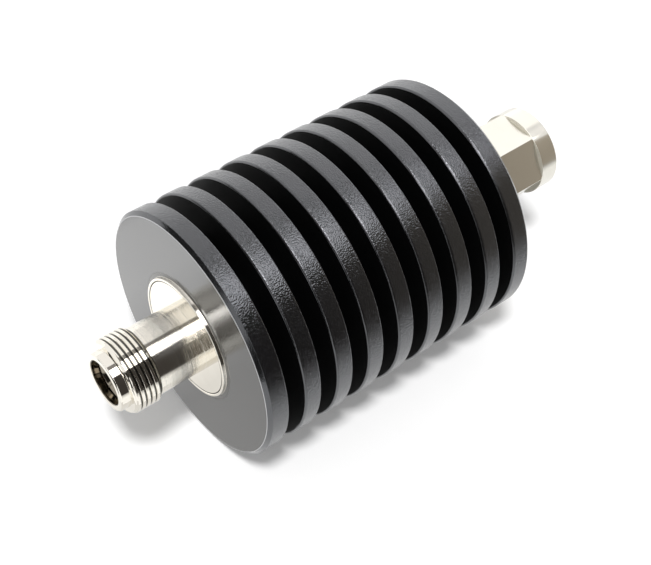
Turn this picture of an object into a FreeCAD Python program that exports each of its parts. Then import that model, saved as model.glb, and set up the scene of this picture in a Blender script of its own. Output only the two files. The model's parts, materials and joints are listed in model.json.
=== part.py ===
import FreeCAD, Part
import math
import os

from FreeCAD import Vector

# A coaxial attenuator lying on its side. The axis runs along X, from the
# socket end (negative) to the plug end (positive). Lengths are millimetres.
# Along the axis, zero is the front face of the heat sink until the last step,
# which moves every piece so that the part lies on z = 0 about its middle.

# heat sink, turned from one bar
sinkRadius = 26.5
frontDiscWidth = 4.7
rearDiscWidth = 4.5
gapWidth = 3.7
finWidth = 3.88
finCount = 7
hubWall = 2.7
endChamfer = 0.8
finChamfer = 0.3

# core sleeve, pressed into the bore of the heat sink; a rim stands out at each end
sleeveRadius = 13.85
sleeveWall = 1.5
rimStep = 0.95
rimHeight = 0.8
rimEdge = 0.1
seatGap = 0.02

# end flanges of the two connectors, inside the ends of the sleeve
flangeRecess = 0.1
flangeThickness = 3.2
flangeEdge = 0.15
flangeGap = 0.05

# coaxial line through the whole part, fifty ohm in air
lineOuter = 3.5
lineInner = 1.52
beadStep = 1.0
neckStep = 0.17
beadLength = 4.0
slipGap = 0.01

# interface thread, shared by the socket and the coupling nut
threadRadius = 7.9375
threadDepth = 0.49

# socket end
jackLength = 19.0
noseLength = 2.0
noseRadius = 6.2
noseLead = 0.25
jackThreadLength = 6.2
threadFrontChamfer = 0.55
threadRearChamfer = 0.7
barrelRelief = 0.77
jackBore = 4.06
jackCounterbore = 1.8
jackEntry = 0.7
lipEdge = 0.1
jackBoreDepth = 9.1
jackBeadSetBack = 2.9
contactSetBack = 3.9
socketWall = 0.69
socketDepth = 5.5
socketSlotLength = 4.6
socketSlotWidth = 0.3
socketSlots = 4
contactEdge = 0.2

# plug end, with lengths from the rear face of the heat sink
neckGap = 0.45
neckChamfer = 0.3
plugBeadEnd = 9.0
gasketFace = 15.1
gasketThickness = 1.6
gasketWidth = 1.8
ferruleReach = 8.9
ferruleGap = 0.045
ferruleLead = 0.3
ferruleSlotWidth = 0.4
ferruleSlotLength = 7.0
ferruleSlots = 4
pinShoulderSetBack = 5.3
pinSetBack = 1.0
pinGap = 0.005
pinTaper = 0.65
pinNose = 0.25
pinNoseShare = 0.62

# coupling nut and the split ring that holds it on the plug
nutStart = 7.6
hexLength = 13.0
collarLength = 4.6
acrossFlats = 16.6
hexTurn = 3.0
collarWall = 1.25
nutCornerChamfer = 0.9
hexRelief = 0.5
nutMouthChamfer = 0.4
mouthClearance = 0.11
nutRunningGap = 0.05
nutRearLip = 2.3
ringThickness = 0.9
ringStep = 0.6
ringGrooveStep = 0.8
ringSideGap = 0.05
ringRadialGap = 0.08
ringSplit = 3.0
nutFloat = 1.0

# attenuator chip on its flange, in the middle of the split core
substrateX = 6.0
substrateY = 8.8
substrateZ = 1.0
carrierMargin = 0.1
carrierEndMargin = 0.5
carrierThickness = 1.5
lidHeight = 0.8
lidMargin = 0.6
lidGap = 0.1
tabThickness = 0.2
tabWidth = 1.4
tabOnChip = 0.9
lineEndGap = 1.6
tabInSlot = 1.2
tabSlotGap = 0.02
pocketGap = 0.25
supportBeadWidth = 1.5
supportBeadFromChip = 9.0

# screws that hold the flange to the base, and the cover to the base
screwRadius = 1.25
screwHoleGap = 0.05
screwEndGap = 0.4
headSocketAcross = 2.0
headSocketDepth = 1.0
carrierHeadRadius = 2.1
carrierHeadHeight = 1.4
carrierHeadGap = 1.1
carrierScrewDepth = 4.6
coverScrewX = 18.0
coverHeadRadius = 2.2
coverHeadHeight = 2.4
coverHeadGap = 0.1
coverHeadRoom = 0.4
coverScrewEdge = 2.4
coverScrewDepth = 7.2

# how far a cutter reaches past what it cuts, and a fused piece into its carrier
overcut = 1.0

# places and sizes that follow from the values above
finPitch = finWidth + gapWidth
bodyLength = frontDiscWidth + finCount * finPitch + gapWidth + rearDiscWidth
chipX = bodyLength / 2
sinkBore = sleeveRadius + seatGap
rootRadius = sinkBore + hubWall
sleeveBore = sleeveRadius - sleeveWall
coreRadius = sleeveBore - flangeGap
flangeFace = flangeRecess - rimHeight
coreStart = flangeFace + flangeThickness
coreEnd = bodyLength - coreStart
beadOuter = lineOuter + beadStep
beadInner = lineInner - neckStep

jackLip = -jackLength
referencePlane = jackLip + jackBoreDepth
jackBead = referencePlane + jackBeadSetBack
socketRadius = lineInner - socketWall
mouthRadius = jackBore + jackEntry

ferruleRadius = jackBore - ferruleGap
gasketSeat = bodyLength + gasketFace - gasketThickness
ferruleEnd = bodyLength + gasketFace + ferruleReach
plugBead = bodyLength + plugBeadEnd - beadLength
pinRadius = socketRadius - pinGap

nutThreadBore = threadRadius - threadDepth
nutMouthBore = threadRadius + mouthClearance
collarRadius = nutMouthBore + collarWall
neckRadius = nutThreadBore - neckGap
nutX = bodyLength + nutStart
hexEnd = nutX + hexLength
nutMouth = hexEnd + collarLength
ringGroove = nutX + nutRearLip
ringGrooveWidth = ringThickness + 2 * ringSideGap
ringOuter = neckRadius + ringStep

substrateTop = -tabThickness / 2
carrierTop = substrateTop - substrateZ
pocketFloor = carrierTop - carrierThickness
carrierScrewY = substrateY / 2 + carrierHeadGap + carrierHeadRadius
carrierX = substrateX / 2 + carrierMargin
carrierY = carrierScrewY + carrierHeadRadius + carrierEndMargin
lidTop = substrateTop + lidHeight
lineEndIn = chipX - substrateX / 2 - lineEndGap
lineEndOut = chipX + substrateX / 2 + lineEndGap
coverScrewY = coreRadius - coverScrewEdge - coverHeadRadius
coverHeadTop = math.sqrt((coreRadius - coverHeadRoom) ** 2
                         - (coverScrewY + coverHeadRadius) ** 2)
coverHeadSeat = coverHeadTop - coverHeadHeight


def turned(points):
    """Solid of revolution about the axis from (x, radius) corners."""
    corners = [Vector(x, 0, r) for x, r in points]
    corners.append(corners[0])
    face = Part.Face(Part.makePolygon(corners))
    return face.revolve(Vector(0, 0, 0), Vector(1, 0, 0), 360)


def rod(x0, x1, radius):
    return Part.makeCylinder(radius, x1 - x0, Vector(x0, 0, 0), Vector(1, 0, 0))


def tube(x0, x1, inner, outer):
    return turned([(x0, inner), (x1, inner), (x1, outer), (x0, outer)])


def block(x0, x1, y0, y1, z0, z1):
    return Part.makeBox(x1 - x0, y1 - y0, z1 - z0, Vector(x0, y0, z0))


def upright(x, y, z0, z1, radius):
    return Part.makeCylinder(radius, z1 - z0, Vector(x, y, z0), Vector(0, 0, 1))


def slotted(shape, x0, x1, width, inner, outer, count):
    """Cut straight slots through one end of a round wall."""
    for k in range(count):
        cutter = block(x0, x1, inner, outer, -width / 2, width / 2)
        cutter.rotate(Vector(0, 0, 0), Vector(1, 0, 0), 360 * k / count + 45)
        shape = shape.cut(cutter)
    return shape


def makeHeatSink():
    """Bar with square grooves; every outer edge is broken."""
    points = [(0, sinkBore), (0, sinkRadius - endChamfer), (endChamfer, sinkRadius)]
    grooves = [frontDiscWidth + k * finPitch for k in range(finCount + 1)]
    for x in grooves:
        far = x + gapWidth
        points += [
            (x - finChamfer, sinkRadius), (x, sinkRadius - finChamfer),
            (x, rootRadius), (far, rootRadius),
            (far, sinkRadius - finChamfer), (far + finChamfer, sinkRadius),
        ]
    points += [
        (bodyLength - endChamfer, sinkRadius), (bodyLength, sinkRadius - endChamfer),
        (bodyLength, sinkBore),
    ]
    return turned(points)


def makeSleeve():
    """Stepped tube: its shoulders lie flush with the ends of the heat sink."""
    rim = sleeveRadius - rimStep
    far = bodyLength + rimHeight
    e = rimEdge
    return turned([
        (-rimHeight, sleeveBore + e), (e - rimHeight, sleeveBore),
        (far - e, sleeveBore), (far, sleeveBore + e), (far, rim - e), (far - e, rim),
        (bodyLength, rim), (bodyLength, sleeveRadius), (0, sleeveRadius), (0, rim),
        (e - rimHeight, rim), (-rimHeight, rim - e),
    ])


def makeJackBody():
    """Socket shell: end flange, barrel, thread blank, nose and stepped bore."""
    noseEnd = jackLip + noseLength
    threadEnd = noseEnd + jackThreadLength
    barrelRadius = threadRadius - barrelRelief
    return turned([
        (jackLip, mouthRadius + lipEdge), (jackLip + lipEdge, mouthRadius),
        (jackLip + jackCounterbore, mouthRadius),
        (jackLip + jackCounterbore + jackEntry, jackBore),
        (referencePlane, jackBore), (referencePlane, lineOuter),
        (jackBead, lineOuter), (jackBead, beadOuter), (coreStart, beadOuter),
        (coreStart, coreRadius), (flangeFace + flangeEdge, coreRadius),
        (flangeFace, coreRadius - flangeEdge), (flangeFace, barrelRadius),
        (threadEnd, barrelRadius),
        (threadEnd, threadRadius - threadRearChamfer),
        (threadEnd - threadRearChamfer, threadRadius),
        (noseEnd + threadFrontChamfer, threadRadius),
        (noseEnd, threadRadius - threadFrontChamfer), (noseEnd, noseRadius),
        (jackLip + noseLead, noseRadius), (jackLip, noseRadius - noseLead),
    ])


def makeBead(x0):
    return tube(x0, x0 + beadLength, beadInner + slipGap, beadOuter - slipGap)


def makeBush(x0, x1):
    """Sleeve that keeps a bead against the shoulder of its bore."""
    return tube(x0, x1, lineOuter, beadOuter - slipGap)


def innerConductor(bead, x0, x1):
    """Rod with the neck that locks it in its bead."""
    stop = bead + beadLength
    return turned([
        (x0, 0), (x0, lineInner), (bead, lineInner), (bead, beadInner),
        (stop, beadInner), (stop, lineInner), (x1, lineInner), (x1, 0),
    ])


def tabSlot(x0, x1):
    half = tabThickness / 2 + tabSlotGap
    return block(x0, x1, -2 * lineInner, 2 * lineInner, -half, half)


def makeJackContact():
    """Inner conductor of the socket, bored and slotted to grip a pin."""
    tip = jackLip + contactSetBack
    shape = innerConductor(jackBead, tip, lineEndIn)
    bored = turned([
        (tip - overcut, 0), (tip - overcut, socketRadius + contactEdge + overcut),
        (tip + contactEdge, socketRadius), (tip + socketDepth, socketRadius),
        (tip + socketDepth + socketRadius, 0),
    ])
    rim = turned([
        (tip - overcut, lineInner - contactEdge - overcut), (tip + contactEdge, lineInner),
        (tip + contactEdge, lineInner + overcut), (tip - overcut, lineInner + overcut),
    ])
    shape = shape.cut(bored).cut(rim)
    shape = slotted(shape, tip - overcut, tip + socketSlotLength, socketSlotWidth,
                    socketRadius / 2, 2 * lineInner, socketSlots)
    return shape.cut(tabSlot(lineEndIn - tabInSlot, lineEndIn + overcut))


def makePlugBody():
    """Plug shell: end flange, grooved neck and slotted spring ferrule."""
    rear = bodyLength - flangeFace
    beadStop = plugBead + beadLength
    travelEnd = ringGroove + ringGrooveWidth + nutFloat
    grooveFloor = neckRadius - ringGrooveStep
    shape = turned([
        (coreEnd, beadOuter), (beadStop, beadOuter), (beadStop, lineOuter),
        (ferruleEnd, lineOuter), (ferruleEnd, ferruleRadius - ferruleLead),
        (ferruleEnd - ferruleLead, ferruleRadius), (gasketSeat, ferruleRadius),
        (gasketSeat, neckRadius - neckChamfer), (gasketSeat - neckChamfer, neckRadius),
        (travelEnd, neckRadius), (travelEnd, grooveFloor), (ringGroove, grooveFloor),
        (ringGroove, neckRadius), (rear, neckRadius), (rear, coreRadius - flangeEdge),
        (rear - flangeEdge, coreRadius), (coreEnd, coreRadius),
    ])
    return slotted(shape, ferruleEnd - ferruleSlotLength, ferruleEnd + overcut,
                   ferruleSlotWidth, lineOuter / 2, 2 * ferruleRadius, ferruleSlots)


def makePlugPin():
    """Inner conductor of the plug, stepped down to its round-nosed pin."""
    shoulder = ferruleEnd - pinShoulderSetBack
    tip = ferruleEnd - pinSetBack
    nose = tip - pinNose
    shape = innerConductor(plugBead, lineEndOut, shoulder)
    pin = turned([
        (shoulder - overcut, 0), (shoulder - overcut, pinRadius),
        (nose - pinTaper, pinRadius), (nose, pinRadius * pinNoseShare),
        (tip, pinRadius * pinNoseShare / 2), (tip, 0),
    ])
    shape = shape.fuse(pin).removeSplitter()
    return shape.cut(tabSlot(lineEndOut - overcut, lineEndOut + tabInSlot))


def makeNut():
    """Hexagon with both ends turned to a cone, a plain collar and its bores.

    The corners stand a little proud of the collar and are turned down to it."""
    corner = acrossFlats / 2 / math.cos(math.pi / 6)
    angles = [math.radians(hexTurn + 60 * k) for k in range(7)]
    ring = [Vector(nutX, corner * math.cos(a), corner * math.sin(a)) for a in angles]
    blank = Part.Face(Part.makePolygon(ring)).extrude(Vector(hexLength, 0, 0))
    low = corner - nutCornerChamfer
    slope = nutCornerChamfer * math.tan(math.radians(30))
    blank = blank.common(turned([
        (nutX, 0), (nutX, low), (nutX + slope, corner), (hexEnd - hexRelief, corner),
        (hexEnd, collarRadius), (hexEnd, 0),
    ]))
    collar = turned([
        (hexEnd, 0), (hexEnd, collarRadius), (nutMouth - nutMouthChamfer, collarRadius),
        (nutMouth, collarRadius - nutMouthChamfer), (nutMouth, 0),
    ])
    rearBore = neckRadius + nutRunningGap
    grooveEnd = ringGroove + ringGrooveWidth
    grooveRadius = ringOuter + ringRadialGap
    entry = nutMouthBore - nutThreadBore
    hollow = turned([
        (nutX - overcut, 0), (nutX - overcut, rearBore), (ringGroove, rearBore),
        (ringGroove, grooveRadius), (grooveEnd, grooveRadius), (grooveEnd, nutThreadBore),
        (nutMouth - entry, nutThreadBore), (nutMouth, nutMouthBore),
        (nutMouth + overcut, nutMouthBore), (nutMouth + overcut, 0),
    ])
    return blank.fuse(collar).cut(hollow).removeSplitter()


def makeSnapRing():
    x0 = ringGroove + ringSideGap
    x1 = x0 + ringThickness
    ring = tube(x0, x1, neckRadius - ringGrooveStep + ringRadialGap, ringOuter)
    half = ringSplit / 2
    return ring.cut(block(x0 - overcut, x1 + overcut, -half, half, 0, 2 * ringOuter))


def makeGasket():
    outer = neckRadius - neckChamfer
    return tube(gasketSeat, gasketSeat + gasketThickness, outer - gasketWidth, outer)


def chipPocket(z0, z1):
    halfX = carrierX + pocketGap
    halfY = carrierY + pocketGap
    return block(chipX - halfX, chipX + halfX, -halfY, halfY, z0, z1)


coverScrewPlaces = [
    (chipX + sx * coverScrewX, sy * coverScrewY) for sx in (-1, 1) for sy in (-1, 1)
]
carrierScrewPlaces = [(chipX, -carrierScrewY), (chipX, carrierScrewY)]
coverScrewLength = coverHeadSeat + coverScrewDepth
carrierScrewLength = carrierThickness + carrierScrewDepth


def coreHalf(z0, z1):
    """Half of a round bar between the two flanges, cut along the axis."""
    wide = 2 * coreRadius
    return rod(coreStart, coreEnd, coreRadius).common(
        block(coreStart - overcut, coreEnd + overcut, -wide, wide, z0, z1))


def makeCoreBase():
    shape = coreHalf(-2 * coreRadius, 0)
    pocketX = carrierX + pocketGap
    shape = shape.cut(rod(coreStart - overcut, chipX - pocketX, lineOuter))
    shape = shape.cut(rod(chipX + pocketX, coreEnd + overcut, lineOuter))
    shape = shape.cut(chipPocket(pocketFloor, overcut))
    hole = screwRadius + screwHoleGap
    for x, y in coverScrewPlaces:
        shape = shape.cut(upright(x, y, -coverScrewDepth - screwEndGap, overcut, hole))
    for x, y in carrierScrewPlaces:
        depth = carrierScrewDepth + screwEndGap
        shape = shape.cut(upright(x, y, pocketFloor - depth, overcut, hole))
    return shape


def makeCoreCover():
    shape = coreHalf(0, 2 * coreRadius)
    shape = shape.cut(rod(coreStart - overcut, coreEnd + overcut, lineOuter))
    pocketTop = max(carrierTop + carrierHeadHeight, lidTop) + pocketGap
    shape = shape.cut(chipPocket(-overcut, pocketTop))
    for x, y in coverScrewPlaces:
        top = 2 * coreRadius
        shape = shape.cut(upright(x, y, -overcut, top, screwRadius + screwHoleGap))
        shape = shape.cut(upright(x, y, coverHeadSeat, top, coverHeadRadius + coverHeadGap))
    return shape


def makeScrew(place, seat, length, headRadius, headHeight):
    """Cap screw with a hexagon socket; its thread is left plain."""
    x, y = place
    top = seat + headHeight
    shape = upright(x, y, seat - length, seat + headHeight / 2, screwRadius)
    shape = shape.fuse(upright(x, y, seat, top, headRadius)).removeSplitter()
    corner = headSocketAcross / 2 / math.cos(math.pi / 6)
    angles = [math.radians(60 * k) for k in range(7)]
    ring = [Vector(x + corner * math.cos(a), y + corner * math.sin(a), top) for a in angles]
    socket = Part.Face(Part.makePolygon(ring)).extrude(Vector(0, 0, -headSocketDepth))
    return shape.cut(socket)


def makeCarrierFlange():
    shape = block(chipX - carrierX, chipX + carrierX, -carrierY, carrierY,
                  pocketFloor, carrierTop)
    hole = screwRadius + 2 * screwHoleGap
    for x, y in carrierScrewPlaces:
        shape = shape.cut(upright(x, y, pocketFloor - overcut, carrierTop + overcut, hole))
    return shape


def makeSubstrate():
    halfX = substrateX / 2
    halfY = substrateY / 2
    return block(chipX - halfX, chipX + halfX, -halfY, halfY, carrierTop, substrateTop)


def makeLid():
    halfX = substrateX / 2 - tabOnChip - lidGap
    halfY = substrateY / 2 - lidMargin
    return block(chipX - halfX, chipX + halfX, -halfY, halfY, substrateTop, lidTop)


def makeTab(side):
    """Ribbon from the chip into the slot of one inner conductor."""
    onChip = chipX + side * (substrateX / 2 - tabOnChip)
    inSlot = chipX + side * (substrateX / 2 + lineEndGap + tabInSlot)
    x0, x1 = sorted((onChip, inSlot))
    half = tabThickness / 2
    return block(x0, x1, -tabWidth / 2, tabWidth / 2, -half, half)


def makeSupportBead(side):
    centre = chipX + side * supportBeadFromChip
    half = supportBeadWidth / 2
    return tube(centre - half, centre + half, lineInner + slipGap, lineOuter - slipGap)


pieces = {
    "heat_sink": makeHeatSink(),
    "core_sleeve": makeSleeve(),
    "core_base": makeCoreBase(),
    "core_cover": makeCoreCover(),
    "carrier_flange": makeCarrierFlange(),
    "chip_substrate": makeSubstrate(),
    "chip_lid": makeLid(),
    "input_tab": makeTab(-1),
    "output_tab": makeTab(1),
    "input_support_bead": makeSupportBead(-1),
    "output_support_bead": makeSupportBead(1),
    "jack_body": makeJackBody(),
    "jack_bead": makeBead(jackBead),
    "jack_bush": makeBush(jackBead + beadLength, coreStart),
    "jack_contact": makeJackContact(),
    "plug_body": makePlugBody(),
    "plug_bead": makeBead(plugBead),
    "plug_bush": makeBush(coreEnd, plugBead),
    "plug_pin": makePlugPin(),
    "plug_gasket": makeGasket(),
    "snap_ring": makeSnapRing(),
    "coupling_nut": makeNut(),
}
for number, place in enumerate(carrierScrewPlaces, 1):
    pieces["carrier_screw_%d" % number] = makeScrew(
        place, carrierTop, carrierScrewLength, carrierHeadRadius, carrierHeadHeight)
for number, place in enumerate(coverScrewPlaces, 1):
    pieces["cover_screw_%d" % number] = makeScrew(
        place, coverHeadSeat, coverScrewLength, coverHeadRadius, coverHeadHeight)

middle = (jackLip + nutMouth) / 2
os.makedirs("parts", exist_ok=True)
for name, shape in pieces.items():
    shape.translate(Vector(-middle, 0, sinkRadius))
    if not shape.isValid() or len(shape.Solids) != 1:
        raise RuntimeError("%s is not one valid solid" % name)
    shape.exportStep("parts/%s.step" % name)
    print("%-20s %9.1f mm3" % (name, shape.Volume))
print("length %.2f, body %.2f, front face at x = %.3f" % (nutMouth - jackLip, bodyLength, -middle))
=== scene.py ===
import json
import math

import bpy
import numpy as np
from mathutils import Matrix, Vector


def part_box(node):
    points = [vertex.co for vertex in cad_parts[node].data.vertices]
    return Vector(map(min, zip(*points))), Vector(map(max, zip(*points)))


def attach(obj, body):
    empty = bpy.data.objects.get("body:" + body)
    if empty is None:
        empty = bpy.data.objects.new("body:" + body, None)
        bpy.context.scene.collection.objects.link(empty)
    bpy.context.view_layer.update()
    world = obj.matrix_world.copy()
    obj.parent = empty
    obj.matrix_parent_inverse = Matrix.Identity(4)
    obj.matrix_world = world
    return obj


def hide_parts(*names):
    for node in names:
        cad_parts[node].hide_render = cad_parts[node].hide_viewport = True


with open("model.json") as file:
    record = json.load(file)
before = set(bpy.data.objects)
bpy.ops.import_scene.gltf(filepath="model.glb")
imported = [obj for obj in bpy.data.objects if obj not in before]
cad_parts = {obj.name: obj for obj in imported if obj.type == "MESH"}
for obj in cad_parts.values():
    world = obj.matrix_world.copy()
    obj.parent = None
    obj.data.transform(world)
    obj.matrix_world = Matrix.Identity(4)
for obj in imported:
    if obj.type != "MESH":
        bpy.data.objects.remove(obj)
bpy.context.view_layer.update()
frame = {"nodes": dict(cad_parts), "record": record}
nodes = frame["nodes"]
print("stage: frame loaded,", len(nodes), "solids")

mm = 0.001
sinkLow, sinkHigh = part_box("heat_sink")
frontX = sinkLow[0]                          # front face of the heat sink, in metres
front = frontX / mm                          # and in millimetres
axisZ = (sinkLow[2] + sinkHigh[2]) / 2       # height of the line's axis
sinkRadius = (sinkHigh[2] - sinkLow[2]) / 2 / mm
bodyLength = (sinkHigh[0] - sinkLow[0]) / mm


# shader graphs

class Wire:
    # a socket that can be added, multiplied and so on like a number
    def __init__(self, graph, socket):
        self.graph = graph
        self.socket = socket

    def output(self, name):
        return Wire(self.graph, self.socket.node.outputs[name])

    def maths(self, operation, first, second):
        return self.graph.node("ShaderNodeMath", {"operation": operation}, {0: first, 1: second})

    def __add__(self, other):
        return self.maths("ADD", self, other)

    def __sub__(self, other):
        return self.maths("SUBTRACT", self, other)

    def __rsub__(self, other):
        return self.maths("SUBTRACT", other, self)

    def __mul__(self, other):
        return self.maths("MULTIPLY", self, other)

    def __truediv__(self, other):
        return self.maths("DIVIDE", self, other)

    def __rtruediv__(self, other):
        return self.maths("DIVIDE", other, self)

    def __pow__(self, other):
        return self.maths("POWER", self, other)

    def __rpow__(self, other):
        return self.maths("POWER", other, self)

    __radd__ = __add__
    __rmul__ = __mul__

    def absolute(self):
        return self.maths("ABSOLUTE", self, 0)

    def atMost(self, other):
        return self.maths("MINIMUM", self, other)


class Graph:
    # the nodes of one material or world
    def __init__(self, owner):
        owner.use_nodes = True
        self.owner = owner
        self.tree = owner.node_tree
        self.tree.nodes.clear()

    def node(self, kind, settings=None, values=None, output=0):
        made = self.tree.nodes.new(kind)
        for key, value in (settings or {}).items():
            setattr(made, key, value)
        for key, value in (values or {}).items():
            socket = made.inputs[key]
            if isinstance(value, Wire):
                self.tree.links.new(value.socket, socket)
            else:
                socket.default_value = (*value, 1.0) if socket.type == "RGBA" else value
        return Wire(self, made.outputs[output]) if len(made.outputs) else made

    def place(self):
        return self.node("ShaderNodeTexCoord", output="Object")

    def noise(self, scale, detail=2.0, roughness=0.5):
        values = {"Vector": self.place(), "Scale": scale, "Detail": detail, "Roughness": roughness}
        return self.node("ShaderNodeTexNoise", {"noise_dimensions": "3D"}, values)

    def lines(self, along):
        # noise that changes in one direction only
        values = {"W": along, "Scale": 1.0, "Detail": 2.0, "Roughness": 0.6}
        return self.node("ShaderNodeTexNoise", {"noise_dimensions": "1D"}, values)

    def blend(self, share, first, second):
        # the first colour where share is 0, the second where it is 1
        settings = {"data_type": "RGBA"}
        return self.node("ShaderNodeMix", settings, {0: share, 6: first, 7: second}, output=2)

    def within(self, value, low, high):
        # 0 at low and 1 at high, which may be the smaller of the two
        settings = {"clamp": True}
        values = {"Value": value, "From Min": low, "From Max": high}
        return self.node("ShaderNodeMapRange", settings, values)

    def bump(self, height, distance):
        values = {"Height": height, "Distance": distance, "Strength": 1.0}
        return self.node("ShaderNodeBump", None, values)

    def turnBetween(self, share, normal):
        # the surface's own normal where share is 0, the given one where it is 1
        own = self.node("ShaderNodeNewGeometry", output="Normal")
        settings = {"data_type": "VECTOR"}
        return self.node("ShaderNodeMix", settings, {0: share, 4: own, 5: normal}, output=1)

    def finish(self, shader, kind="ShaderNodeOutputMaterial"):
        self.node(kind, None, {"Surface": shader})
        return self.owner


def alongAndRadius(graph):
    # place along the axis and distance from it, in millimetres
    parts = graph.node("ShaderNodeSeparateXYZ", None, {0: graph.place()})
    y = parts.output("Y") / mm
    z = (parts.output("Z") - axisZ) / mm
    return parts.output("X") / mm, (y * y + z * z) ** 0.5


# finishes; their lengths are millimetres

anodised = {
    "colour": (0.0034, 0.0034, 0.0038), "worn": (0.014, 0.0145, 0.016), "wornShare": 0.6,
    "turned": (0.044, 0.042, 0.037),         # the end faces are turned bright before the film goes on, and are lighter still by painted sheen
    "roughness": 0.15, "uneven": 0.10,
    "index": 2.0,                            # the dyed oxide film shines more than paint does
    "tint": (0.93, 0.955, 1.0),
    "grainSize": 0.25, "grainDepth": 0.070,  # left by the blasting, on the rims of the discs
    "smoothGrain": 0.15,                     # share of it on the chamfers and end faces
    "edge": (0.70, 0.70, 0.72), "highlightWidth": 0.10, "highlightShare": 0.85,     # painted highlight line round the end faces
    "groove": (0.0016, 0.0016, 0.0018),      # painted shade: down in the grooves the film is made darker and duller
    "grooveRoughness": 0.5, "grooveIndex": 1.22,
    "grooveTop": 0.20, "grooveDeep": 0.6,    # below the rims: where the painted shade begins and is full
}


def makeBlackAnodised():
    p = anodised
    graph = Graph(bpy.data.materials.new("blackAnodised"))
    x, radius = alongAndRadius(graph)
    inwards = (x - front).atMost(front + bodyLength - x)     # from the nearer end face
    grain = graph.noise(1 / (p["grainSize"] * mm), 0.0)
    cloud = graph.noise(60.0, 3.0, 0.55)
    tone = graph.blend(graph.within(grain, 0.56, 0.74) * p["wornShare"], p["colour"], p["worn"])
    # the end faces lighter: turned finish and painted sheen
    tone = graph.blend(graph.within(inwards, 0.05, 0.0), tone, p["turned"])
    # painted highlight: a light line along the edge of each end face
    fromEdge = (radius - (sinkRadius - heatSink["endChamfer"])).absolute()
    edge = graph.within(fromEdge, p["highlightWidth"], 0.02) * graph.within(inwards, 0.12, 0.05)
    blasted = graph.within(radius, sinkRadius - 0.10, sinkRadius - 0.04)
    roughGrain = blasted * (1 - p["smoothGrain"]) + p["smoothGrain"]
    outside = graph.node("ShaderNodeBsdfPrincipled", None, {
        "Base Color": graph.blend(edge * p["highlightShare"], tone, p["edge"]),
        "Roughness": p["roughness"] + p["uneven"] * (cloud - 0.5) + p["uneven"] * (grain - 0.5),
        "IOR": p["index"], "Specular Tint": p["tint"],
        "Normal": graph.turnBetween(roughGrain, graph.bump(grain, p["grainDepth"] * mm)),
    })
    # painted shade in the grooves: a darker film with less shine
    inside = graph.node("ShaderNodeBsdfPrincipled", None, {
        "Base Color": p["groove"], "Roughness": p["grooveRoughness"], "IOR": p["grooveIndex"],
    })
    below = graph.within(radius, sinkRadius - p["grooveTop"], sinkRadius - p["grooveDeep"])
    grooveShade = below * graph.within(inwards, 4.0, 4.4)           # not in the end discs
    return graph.finish(graph.node("ShaderNodeMixShader", None, {0: grooveShade, 1: outside, 2: inside}))


# nickel over turned metal: fine rings round the axis spread what it mirrors along the axis
turnedMarks = {
    "ringPitch": 0.05, "facePitch": 0.10, "leastDepth": 0.0006, "cloudShare": 0.4, "uneven": 0.05,
}


def startNickel(name, finish):
    # the graph, the place along the axis, the radius, the plate's tone and its roughness
    graph = Graph(bpy.data.materials.new(name))
    x, radius = alongAndRadius(graph)
    cloud = graph.noise(220.0)
    dulled = graph.within(cloud, 0.35, 0.7) * turnedMarks["cloudShare"]
    roughness = finish["roughness"] + turnedMarks["uneven"] * (cloud - 0.5)
    return graph, x, radius, graph.blend(dulled, finish["colour"], finish["dull"]), roughness


def nickelMarks(graph, x, radius, finish, ringShare=1.0):
    rings = graph.lines(x / turnedMarks["ringPitch"])
    faces = graph.lines(radius / turnedMarks["facePitch"])
    ringDepth = ringShare * finish["ringDepth"] + turnedMarks["leastDepth"]
    return graph.bump(rings * ringDepth + faces * finish["faceDepth"], mm)


sleeveNickel = {
    "colour": (0.90, 0.865, 0.785), "dull": (0.84, 0.80, 0.71), "roughness": 0.10,
    "ringDepth": 0.004, "faceDepth": 0.0008,
    "shoulder": 0.04, "shoulderDulled": 0.18,      # outside the rim its ends are black like the sink, with the sink's painted sheen
}


def makeSleeveNickel():
    p = sleeveNickel
    graph, x, radius, tone, roughness = startNickel("nickelSleeve", p)
    shoulder = sleeve["rim"] + p["shoulder"]
    # outside the rim the shoulder takes the sink's end-face tone, painted sheen included
    black = graph.within(radius, shoulder, shoulder + 0.02)
    return graph.finish(graph.node("ShaderNodeBsdfPrincipled", None, {
        "Base Color": graph.blend(black, tone, anodised["turned"]),
        "Metallic": 1 - black, "Roughness": roughness + black * p["shoulderDulled"],
        "IOR": anodised["index"], "Normal": nickelMarks(graph, x, radius, p),
    }))


shellNickel = {
    "colour": (0.90, 0.865, 0.785), "dull": (0.84, 0.80, 0.71), "roughness": 0.06,
    "ringDepth": 0.010, "faceDepth": 0.0006,
    "rootShade": (0.19, 0.183, 0.165),            # painted shade between the thread's crests
    "seamShade": (0.12, 0.11, 0.09), "seam": 0.14,     # painted shade in the gap round the end flange
    "boreShade": (0.30, 0.27, 0.22), "boreMargin": 0.22,     # painted shade inside the bore
}


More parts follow.
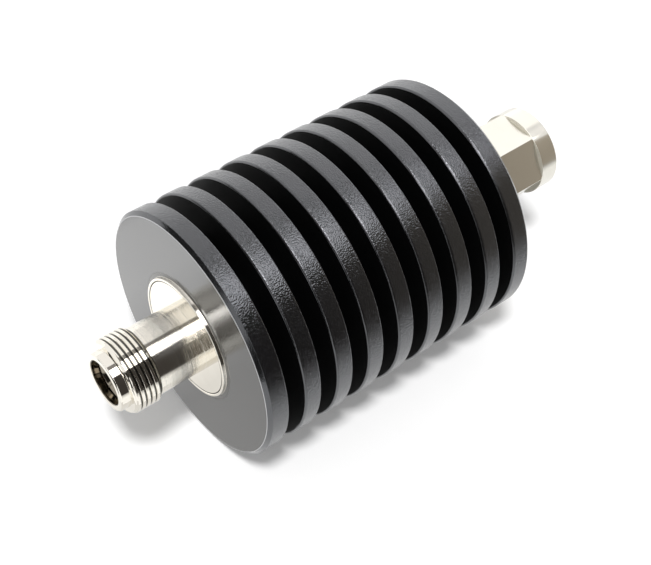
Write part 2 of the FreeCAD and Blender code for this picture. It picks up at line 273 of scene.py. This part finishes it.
def makeShellNickel():
    p = shellNickel
    graph, x, radius, tone, roughness = startNickel("nickelShell", p)
    threadStart = front - jack["length"] + jack["nose"]
    threadEnd = threadStart + jack["threadLength"]
    behind = graph.within(x, threadEnd, threadEnd + 0.2)
    threaded = graph.within(x, threadStart + 0.5, threadStart + 0.6) * (1 - behind)
    # painted shade: darker nickel between the thread's crests, in the gap round the end flange and
    # inside the bore
    root = graph.within(radius, thread["crest"] - 0.08, thread["crest"] - 0.20) * threaded
    seamRadius = jack["flange"] - p["seam"]
    seam = graph.within(radius, seamRadius - 0.04, seamRadius) * behind
    boreRadius = jack["bore"] + jack["entry"] + p["boreMargin"]
    bore = graph.within(radius, boreRadius, boreRadius - 0.06)
    for share, colour in ((root, "rootShade"), (seam, "seamShade"), (bore, "boreShade")):
        tone = graph.blend(share, tone, p[colour])
    return graph.finish(graph.node("ShaderNodeBsdfPrincipled", None, {
        "Base Color": tone, "Metallic": 1.0, "Roughness": roughness,
        "Normal": nickelMarks(graph, x, radius, p, behind),
    }))


nutNickel = {
    "colour": (0.74, 0.72, 0.655), "dull": (0.69, 0.665, 0.59), "roughness": 0.17,
    "ringDepth": 0.006, "faceDepth": 0.0010,
    "stepDulled": 0.45, "stepWidth": 0.08,         # the cutter's marks where the wrench flats end
}


def makeNutNickel():
    p = nutNickel
    graph, x, radius, tone, roughness = startNickel("nickelNut", p)
    flatsEnd = front + bodyLength + nut["start"] + nut["hexLength"]
    step = graph.within((x - flatsEnd).absolute(), p["stepWidth"], 0.02)
    return graph.finish(graph.node("ShaderNodeBsdfPrincipled", None, {
        "Base Color": tone, "Metallic": 1.0, "Roughness": roughness + step * p["stepDulled"],
        "Normal": nickelMarks(graph, x, radius, p),
    }))


# the other pieces: two tones that the grain blends, roughness, metallic and the grain's scale
plainFinishes = {
    "core_metal": ("milledAluminium", (0.80, 0.80, 0.79), (0.70, 0.70, 0.69), 0.32, 1.0),
    "carrier_plate": ("platedCopper", (0.82, 0.60, 0.46), (0.72, 0.50, 0.38), 0.25, 1.0),
    "ceramic": ("ceramicWhite", (0.86, 0.86, 0.83), (0.80, 0.80, 0.77), 0.35),
    "ceramic_lid": ("ceramicLid", (0.80, 0.80, 0.76), (0.74, 0.74, 0.70), 0.40),
    "silver_tab": ("silverRibbon", (0.90, 0.89, 0.85), (0.82, 0.80, 0.75), 0.20, 1.0),
    "ptfe": ("whitePtfe", (0.88, 0.88, 0.86), (0.82, 0.82, 0.80), 0.45, 0.0, 900.0),
    "brass_bush": ("turnedBrass", (0.80, 0.62, 0.34), (0.72, 0.54, 0.28), 0.25, 1.0),
    "gold_contact": ("goldPlate", (0.95, 0.76, 0.40), (0.88, 0.68, 0.34), 0.18, 1.0),
    "silicone": ("redSilicone", (0.42, 0.06, 0.04), (0.36, 0.05, 0.035), 0.55),
    "bronze_ring": ("springBronze", (0.66, 0.46, 0.28), (0.56, 0.38, 0.22), 0.30, 1.0),
    "steel_screw": ("screwSteel", (0.55, 0.55, 0.56), (0.46, 0.46, 0.47), 0.30, 1.0),
}
plainGrainDepth = 0.002
plainIndex = 1.45


def makePlain(name, tone, other, roughness, metallic=0.0, scale=400.0):
    graph = Graph(bpy.data.materials.new(name))
    grain = graph.noise(scale, 3.0, 0.6)
    return graph.finish(graph.node("ShaderNodeBsdfPrincipled", None, {
        "Base Color": graph.blend(graph.within(grain, 0.3, 0.7), tone, other), "Metallic": metallic,
        "Roughness": roughness + 0.1 * (grain - 0.5), "IOR": plainIndex,
        "Normal": graph.bump(grain, plainGrainDepth * mm),
    }))


# turned pieces: a profile of places along the axis and radii, carried round the axis

def evenTurn(count):
    return np.arange(count) * (2 * math.pi / count)


def eased(points, radius, steps):
    # the same outline with each inner corner rounded to the radius, or to what fits;
    # a point's third number is a radius of its own
    result = [points[0][:2]]
    for before, corner, after in zip(points, points[1:], points[2:]):
        own = corner[2] if len(corner) > 2 else radius
        corner = corner[:2]
        here = Vector(corner)
        toBefore = Vector(before[:2]) - here
        toAfter = Vector(after[:2]) - here
        angle = toBefore.angle(toAfter, math.pi)
        if math.pi - angle < 0.05:
            result.append(corner)
            continue
        room = min(toBefore.length, toAfter.length) * 0.45
        setBack = min(own / math.tan(angle / 2), room)
        fillet = setBack * math.tan(angle / 2)
        inward = (toBefore.normalized() + toAfter.normalized()).normalized()
        middle = here + inward * (fillet / math.sin(angle / 2))
        start = here + toBefore.normalized() * setBack - middle
        end = here + toAfter.normalized() * setBack - middle
        side = (end - start * (start.dot(end) / start.dot(start))).normalized() * start.length
        for k in range(steps + 1):
            turn = start.angle(end) * k / steps
            result.append(tuple(middle + start * math.cos(turn) + side * math.sin(turn)))
    result.append(points[-1][:2])
    return result


def turnedMesh(name, rings, angles, material, body, lead=0, sharp=50):
    # rings are (x, radius) in millimetres from the front face; either may vary with the angle.
    # lead is the number of rings that one turn of a thread moves on by; without it the outline closes
    count = len(angles)
    total = len(rings)
    table = np.zeros((total, count, 3))
    for row, (x, radius) in zip(table, rings):
        row[:, 0] = frontX + np.broadcast_to(x, count) * mm
        row[:, 1] = np.broadcast_to(radius, count) * np.cos(angles) * mm
        row[:, 2] = axisZ + np.broadcast_to(radius, count) * np.sin(angles) * mm
    points = table.reshape(-1, 3)
    faces = []
    for i in range(total - 1 if lead else total):
        k = (i + 1) % total
        for j in range(count):
            m = (j + 1) % count
            turn = lead if m == 0 else 0
            after = min(i + turn, total - 1)
            afterNext = min(k + turn, total - 1)
            quad = (i * count + j, after * count + m, afterNext * count + m, k * count + j)
            if not lead or len({tuple(points[corner].round(9)) for corner in quad}) > 2:
                faces.append(quad)
    mesh = bpy.data.meshes.new(name)
    mesh.from_pydata(points.tolist(), [], faces)
    mesh.materials.append(materials[material])
    mesh.shade_smooth()
    piece = bpy.data.objects.new(name, mesh)
    bpy.context.scene.collection.objects.link(piece)
    mesh.set_sharp_from_angle(angle=math.radians(sharp))
    piece.modifiers.new("weightedNormals", "WEIGHTED_NORMAL").keep_sharp = True
    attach(piece, body)
    return piece


heatSink = {
    "frontDisc": 4.7, "gap": 3.7, "fin": 3.88, "fins": 7, "endChamfer": 0.8, "finChamfer": 0.3,
    "rootRadius": 16.57, "bore": 13.86, "ease": 0.06, "rimEase": 0.34, "segments": 256,
}


def makeHeatSink():
    p = heatSink
    c = p["finChamfer"]
    e = p["endChamfer"]
    outline = [(0, p["bore"]), (0, sinkRadius - e), (e, sinkRadius)]
    x = p["frontDisc"]
    for k in range(p["fins"] + 1):
        far = x + p["gap"]
        outline += [
            (x - c, sinkRadius, p["rimEase"]), (x, sinkRadius - c), (x, p["rootRadius"]),
            (far, p["rootRadius"]), (far, sinkRadius - c), (far + c, sinkRadius, p["rimEase"]),
        ]
        x = far + p["fin"]
    outline += [(bodyLength - e, sinkRadius), (bodyLength, sinkRadius - e), (bodyLength, p["bore"])]
    rings = eased(outline, p["ease"], 2)
    piece = turnedMesh("heatSinkFins", rings, evenTurn(p["segments"]), "black_anodised", "body")
    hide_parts("heat_sink")


sleeve = {
    "radius": 13.85, "rim": 12.90, "bore": 12.35, "rimHeight": 0.8, "rimEdge": 0.1,
    "ease": 0.04, "segments": 240,
}


def makeSleeve():
    p = sleeve
    e = p["rimEdge"]
    near = -p["rimHeight"]
    far = bodyLength + p["rimHeight"]
    outline = [
        (bodyLength / 2, p["bore"]), (near + e, p["bore"]), (near, p["bore"] + e),
        (near, p["rim"] - e), (near + e, p["rim"]), (0, p["rim"]), (0, p["radius"]),
        (bodyLength, p["radius"]), (bodyLength, p["rim"]), (far - e, p["rim"]),
        (far, p["rim"] - e), (far, p["bore"] + e), (far - e, p["bore"]),
    ]
    rings = eased(outline, p["ease"], 2)
    piece = turnedMesh("coreSleeveRim", rings, evenTurn(p["segments"]), "nickel_sleeve", "body")
    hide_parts("core_sleeve")


# the interface thread; the outline gives depths under the crest at shares of a turn
thread = {
    "pitch": 1.058, "crest": 7.9375,
    "nutDepth": 0.60, "nutCut": 0.85, "nutCrest": 0.12, "nutFlanks": 0.72, "nutRows": 14,
    "outline": [(0.00, 0.03), (0.03, 0.0), (0.15, 0.0), (0.27, 0.0), (0.39, 0.0), (0.51, 0.0),
                (0.54, 0.03), (0.63, 0.19), (0.72, 0.36), (0.78, 0.36), (0.82, 0.36), (0.91, 0.19)],
}


def outerThread(start, end, angles, frontCut, rearCut):
    # rows along the right-hand helix, cut off by the chamfers at both ends
    rings = []
    turns = math.ceil((end - start) / thread["pitch"]) + 1
    for turn in range(-1, turns):
        for share, depth in thread["outline"]:
            x = start + (turn + share + angles / (2 * math.pi)) * thread["pitch"]
            x = np.clip(x, start, end)
            cone = thread["crest"] + np.minimum(x - start - frontCut, end - x - rearCut)
            rings.append((x, np.minimum(thread["crest"] - depth, cone)))
    return rings


def innerThread(start, end, angles, origin, bore):
    # rows from the mouth inwards, with the helix cut out from the bore; it fades out over the last turn
    rings = []
    count = round((start - end) / thread["pitch"] * thread["nutRows"])
    for k in range(1, count):
        x = start + (end - start) * k / count
        phase = ((x - origin) / thread["pitch"] - angles / (2 * math.pi)) % 1.0
        away = np.abs(phase - 0.5) * 2
        cut = thread["nutDepth"] * np.clip((away - thread["nutCrest"]) / thread["nutFlanks"], 0, 1)
        fade = min(1.0, (count - k) / thread["nutRows"])
        rings.append((x, bore + (cut * fade) * thread["nutCut"]))
    return rings


jack = {
    "length": 19.0, "nose": 2.0, "noseRadius": 6.2, "noseLead": 0.25,
    "threadLength": 6.2, "frontChamfer": 0.55, "rearChamfer": 0.7, "barrel": 7.1675,
    "bore": 4.06, "entry": 0.7, "counterbore": 1.8, "lipEdge": 0.1, "boreDepth": 9.1,
    "line": 3.5, "beadSetBack": 2.9, "beadBore": 4.5,
    "flange": 12.30, "face": -0.7, "flangeEdge": 0.15, "flangeThickness": 3.2,
    "ease": 0.06, "segments": 240,
}


def makeJackBody():
    p = jack
    lip = -p["length"]
    noseEnd = lip + p["nose"]
    threadEnd = noseEnd + p["threadLength"]
    reference = lip + p["boreDepth"]
    bead = reference + p["beadSetBack"]
    face = p["face"]
    back = face + p["flangeThickness"]
    crest = thread["crest"]
    mouth = p["bore"] + p["entry"]
    joinRadius = p["beadBore"] + 0.5             # the outline opens and closes here, on the back face
    inside = [
        (back, joinRadius), (back, p["beadBore"]), (bead, p["beadBore"]), (bead, p["line"]),
        (reference, p["line"]), (reference, p["bore"]), (lip + p["counterbore"] + p["entry"], p["bore"]),
        (lip + p["counterbore"], mouth), (lip + p["lipEdge"], mouth), (lip, mouth + p["lipEdge"]),
        (lip, p["noseRadius"] - p["noseLead"]), (lip + p["noseLead"], p["noseRadius"]),
        (noseEnd, p["noseRadius"]), (noseEnd, crest - p["frontChamfer"]),
    ]
    outside = [
        (threadEnd, crest - p["rearChamfer"]), (threadEnd, p["barrel"]),
        (face, p["barrel"]), (face, p["flange"] - p["flangeEdge"]),
        (face + p["flangeEdge"], p["flange"]), (back, p["flange"]), (back, joinRadius),
    ]
    angles = evenTurn(p["segments"])
    rings = eased(inside, p["ease"], 3)[1:] + eased(outside, p["ease"], 3)
    piece = turnedMesh("jackShell", rings, angles, "nickel_shell", "body")
    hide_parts("jack_body")
    turns = outerThread(noseEnd, threadEnd, angles, p["frontChamfer"], p["rearChamfer"])
    turnedMesh("jackThread", turns, angles, "nickel_shell", "body", len(thread["outline"]), 28)


nut = {
    "start": 7.6, "hexLength": 13.0, "collarLength": 4.6, "acrossFlats": 16.6, "turn": 3.0,
    "cornerRadius": 0.12, "cornerChamfer": 0.9, "coneAngle": 30, "relief": 0.5, "flatsInset": 1.2,
    "collar": 9.2975, "mouthChamfer": 0.4, "rearBore": 7.0475, "ringGroove": 7.6775, "rearLip": 2.3,
    "ringWidth": 1.0, "threadBore": 7.4475, "mouthBore": 8.0475, "threadRelief": 1.2, "ease": 0.06,
}


def nutAngles():
    # more places at the six corners, where the outline turns
    near = np.array([0.0, 0.4, 0.8, 1.3, 2.0, 2.8, 3.8, 5.2])
    wide = np.linspace(7.5, 52.5, 19)
    sector = np.concatenate([near, wide, 60 - near[:0:-1]])
    return np.radians(np.concatenate([sector + nut["turn"] + 60 * k for k in range(6)]))


def hexRadius(angles):
    # radius of the hexagon, its corners rounded
    flat = nut["acrossFlats"] / 2
    ease = nut["cornerRadius"]
    off = (angles - math.radians(nut["turn"]) + math.pi / 6) % (math.pi / 3) - math.pi / 6
    sides = flat / np.cos(math.pi / 6 - np.abs(off))
    centre = (flat - ease) / math.cos(math.pi / 6)
    inside = np.maximum(ease ** 2 - (centre * np.sin(off)) ** 2, 0)
    rounded = centre * np.cos(off) + np.sqrt(inside)
    edge = math.atan2(ease * 0.5, centre + ease * math.cos(math.pi / 6))
    return np.where(np.abs(off) < edge, rounded, sides)


def makeNut():
    p = nut
    rear = bodyLength + p["start"]
    hexEnd = rear + p["hexLength"]
    mouth = hexEnd + p["collarLength"]
    angles = nutAngles()
    flats = hexRadius(angles)
    corner = p["acrossFlats"] / 2 / math.cos(math.pi / 6)
    low = corner - p["cornerChamfer"]
    slope = math.tan(math.radians(p["coneAngle"]))
    groove = rear + p["rearLip"]
    grooveEnd = groove + p["ringWidth"]
    c = p["collar"]
    m = p["mouthChamfer"]
    bore = p["threadBore"]
    entry = p["mouthBore"] - bore
    small = p["ease"]
    rings = [(rear + small, p["rearBore"]), (rear, p["rearBore"] + small), (rear, low - 0.5)]
    for share in np.linspace(0, 1, 7):           # the cone that takes off the six corners
        cone = low + p["cornerChamfer"] * share
        rings.append((rear + (cone - low) * slope, np.minimum(flats, cone)))
    rings += [(rear + p["flatsInset"], flats), (hexEnd - p["flatsInset"], flats)]
    for share in np.linspace(0, 1, 6):           # the slope from the flats' ends to the round collar
        cone = corner + (c - corner) * share
        rings.append((hexEnd - p["relief"] * (1 - share), np.minimum(flats, cone)))
    rings += eased([
        (hexEnd, c - m), (hexEnd, c), (mouth - m, c), (mouth, c - m), (mouth, p["mouthBore"]),
        (mouth - entry, bore), (mouth - entry - 0.1, bore),
    ], small, 3)[1:-1]
    threadEnd = grooveEnd + p["threadRelief"]
    rings += innerThread(mouth - entry, threadEnd, angles, rear, bore)
    rings += eased([
        (threadEnd, bore), (grooveEnd, bore), (grooveEnd, p["ringGroove"]), (groove, p["ringGroove"]),
        (groove, p["rearBore"]), (rear + small, p["rearBore"]),
    ], small / 2, 2)[:-1]
    piece = turnedMesh("couplingNut", rings, angles, "nickel_nut", "nut")
    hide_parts("coupling_nut")


materials = {
    "black_anodised": makeBlackAnodised(), "nickel_sleeve": makeSleeveNickel(),
    "nickel_shell": makeShellNickel(), "nickel_nut": makeNutNickel(),
}
for slot, finish in plainFinishes.items():
    materials[slot] = makePlain(*finish)
print("stage: materials made,", len(materials))

for make in (makeHeatSink, makeSleeve, makeJackBody, makeNut):
    make()
print("stage: turned pieces made")

slots = {entry["node"]: entry["material_slot"] for entry in frame["record"]["subparts"]}
for name, node in nodes.items():
    for place in node.material_slots:
        place.material = materials[slots[name]]
print("stage: finishes given to the solids")


# room: floor, lamp, cards and camera, in metres

studio = {
    "floorSize": 6.0, "floorColour": (0.95, 0.95, 0.95),
    "ownLight": 0.15,                        # what the floor adds where it is seen, and nowhere else
    "worldLight": 0.38,                      # even light on the part; seen directly the world is white
    "lampFrom": (-0.241, -0.327, 0.914), "lampAngle": 10, "lampStrength": 2.25,
}


def seenDirectly(graph):
    # 1 for what the camera, a mirror or glass shows, 0 for the light that falls on the part
    path = graph.node("ShaderNodeLightPath")
    camera = path.output("Is Camera Ray")
    mirror = path.output("Is Glossy Ray")
    through = path.output("Is Transmission Ray")
    return (camera + mirror + through).atMost(1.0)


def makeFloor():
    bpy.ops.mesh.primitive_plane_add(size=studio["floorSize"], location=(0, 0, 0))
    floor = bpy.context.object
    floor.name = "floor"
    graph = Graph(bpy.data.materials.new("paleFloor"))
    matt = graph.node("ShaderNodeBsdfDiffuse", None, {"Color": studio["floorColour"]})
    strength = seenDirectly(graph) * studio["ownLight"]
    own = graph.node("ShaderNodeEmission", None, {"Color": (1, 1, 1), "Strength": strength})
    floor.data.materials.append(graph.finish(graph.node("ShaderNodeAddShader", None, {0: matt, 1: own})))


def makeWorld():
    graph = Graph(bpy.data.worlds.new("room"))
    direct = seenDirectly(graph)
    strength = direct + (1 - direct) * studio["worldLight"]
    light = graph.node("ShaderNodeBackground", None, {"Color": (1, 1, 1), "Strength": strength})
    bpy.context.scene.world = graph.finish(light, "ShaderNodeOutputWorld")


def makeLamp():
    # far off and wide, so that the light is even over the floor and the shadows are soft
    data = bpy.data.lights.new("topLamp", "SUN")
    data.energy = studio["lampStrength"]
    data.angle = math.radians(studio["lampAngle"])
    lamp = bpy.data.objects.new("topLamp", data)
    lamp.rotation_euler = (-Vector(studio["lampFrom"])).to_track_quat("-Z", "Y").to_euler()
    bpy.context.scene.collection.objects.link(lamp)


# cards round the part, for the bright metal and the black film to mirror. Each lies in a plane at
# a level, and changes from its first tone to its second between two places along its run
dark = (0.03, 0.028, 0.025)
dim = (0.16, 0.145, 0.13)
litFloor = (1.13, 1.13, 1.13)
cards = {
    "sideCard": {"plane": "XZ", "level": -0.085, "across": (-0.06, 0.5), "up": (0.0, 0.142),
                 "tones": ((0.045, 0.040, 0.037), (0.420, 0.375, 0.315)), "fade": (0.0, 0.12)},
    "sideFront": {"plane": "XZ", "level": -0.085, "across": (-0.084, -0.06), "up": (0.0, 0.142),
                  "tones": (dim, dim)},
    "frontLow": {"plane": "YZ", "level": -0.11, "across": (-0.03, 0.06), "up": (0.0, 0.045),
                 "tones": (dark, dark)},
    "frontHigh": {"plane": "YZ", "level": -0.11, "across": (-0.09, 0.22), "up": (0.078, 0.112),
                  "tones": (dark, dark)},
    "frontLeft": {"plane": "YZ", "level": -0.11, "across": (-0.09, -0.055), "up": (0.0, 0.08),
                  "tones": (dark, dark)},
    # two sheets just above the floor, seen only in the metal and the black film: painted shade of the
    # floor near the part, and on the left a painted brighter floor further out
    "footLeft": {"plane": "XY", "level": 0.0004, "across": (-0.075, -0.0362), "up": (-0.02, 0.06),
                 "tones": ((0.80, 0.79, 0.775), (1.50, 1.49, 1.47)), "fade": (0.006, 0.040),
                 "run": (0.0, 1.0)},
    "footRight": {"plane": "XY", "level": 0.0004, "across": (-0.06, 0.16), "up": (-0.085, -0.045),
                  "tones": ((0.30, 0.29, 0.28), litFloor), "fade": (-0.085, -0.045), "run": (0.0, 1.0)},
    "strip": {"plane": "XY", "level": 0.42, "across": (-0.9, 1.2), "up": (-0.6, -0.062),
              "tones": ((3.0, 2.98, 3.04), (1.05, 1.04, 1.06)), "fade": (0.17, 0.29)},
    "gap": {"plane": "XY", "level": 0.42, "across": (-0.9, 1.2), "up": (-0.062, 0.03),
            "tones": ((0.25, 0.24, 0.23), (0.95, 0.94, 0.95)), "fade": (0.13, 0.24)},
    "ceiling": {"plane": "XY", "level": 0.42, "across": (-0.9, 1.2), "up": (0.03, 1.2),
                "tones": ((1.00, 0.99, 0.99), (1.45, 1.44, 1.44)), "fade": (0.09, 0.21),
                "run": (1.0, -0.36)},
    "farCard": {"plane": "XZ", "level": 1.2, "across": (-0.9, 1.2), "up": (0.0, 0.42),
                "tones": ((1.20, 1.19, 1.19), (1.60, 1.59, 1.59)), "fade": (0.3, 0.8)},
}


def makeCard(name, plane, level, across, up, tones, fade=(0.0, 1.0), run=(1.0, 0.0)):
    corners = []
    for a, b in ((0, 0), (1, 0), (1, 1), (0, 1)):
        corner = [level] * 3
        corner["XYZ".index(plane[0])] = across[a]
        corner["XYZ".index(plane[1])] = up[b]
        corners.append(corner)
    mesh = bpy.data.meshes.new(name)
    mesh.from_pydata(corners, [], [(0, 1, 2, 3)])
    card = bpy.data.objects.new(name, mesh)
    bpy.context.scene.collection.objects.link(card)
    graph = Graph(bpy.data.materials.new(name))
    parts = graph.node("ShaderNodeSeparateXYZ", None, {0: graph.place()})
    along = graph.within(parts.output("X") * run[0] + parts.output("Y") * run[1], *fade)
    glow = graph.node("ShaderNodeEmission", None, {"Color": graph.blend(along, *tones), "Strength": 1.0})
    mesh.materials.append(graph.finish(glow))
    card.visible_camera = False
    card.visible_diffuse = False
    card.visible_shadow = False


# the photograph's viewing angle, with its places in millimetres
view = {"lens": 75.15, "target": (-2.16, 0.0, 19.6), "place": (-123.0, -153.5, 224.3)}


def makeCamera():
    data = bpy.data.cameras.new("camera")
    data.lens = view["lens"]
    data.sensor_width = 36.0
    data.clip_start = 0.01
    camera = bpy.data.objects.new("camera", data)
    place = Vector(view["place"]) * mm
    target = Vector(view["target"]) * mm
    camera.location = place
    camera.rotation_euler = (target - place).to_track_quat("-Z", "Y").to_euler()
    bpy.context.scene.collection.objects.link(camera)
    bpy.context.scene.camera = camera


makeFloor()
makeWorld()
makeLamp()
for name, card in cards.items():
    makeCard(name, **card)
makeCamera()
bpy.context.scene.view_settings.view_transform = "Standard"
print("stage: room, lamp, cards and camera made")
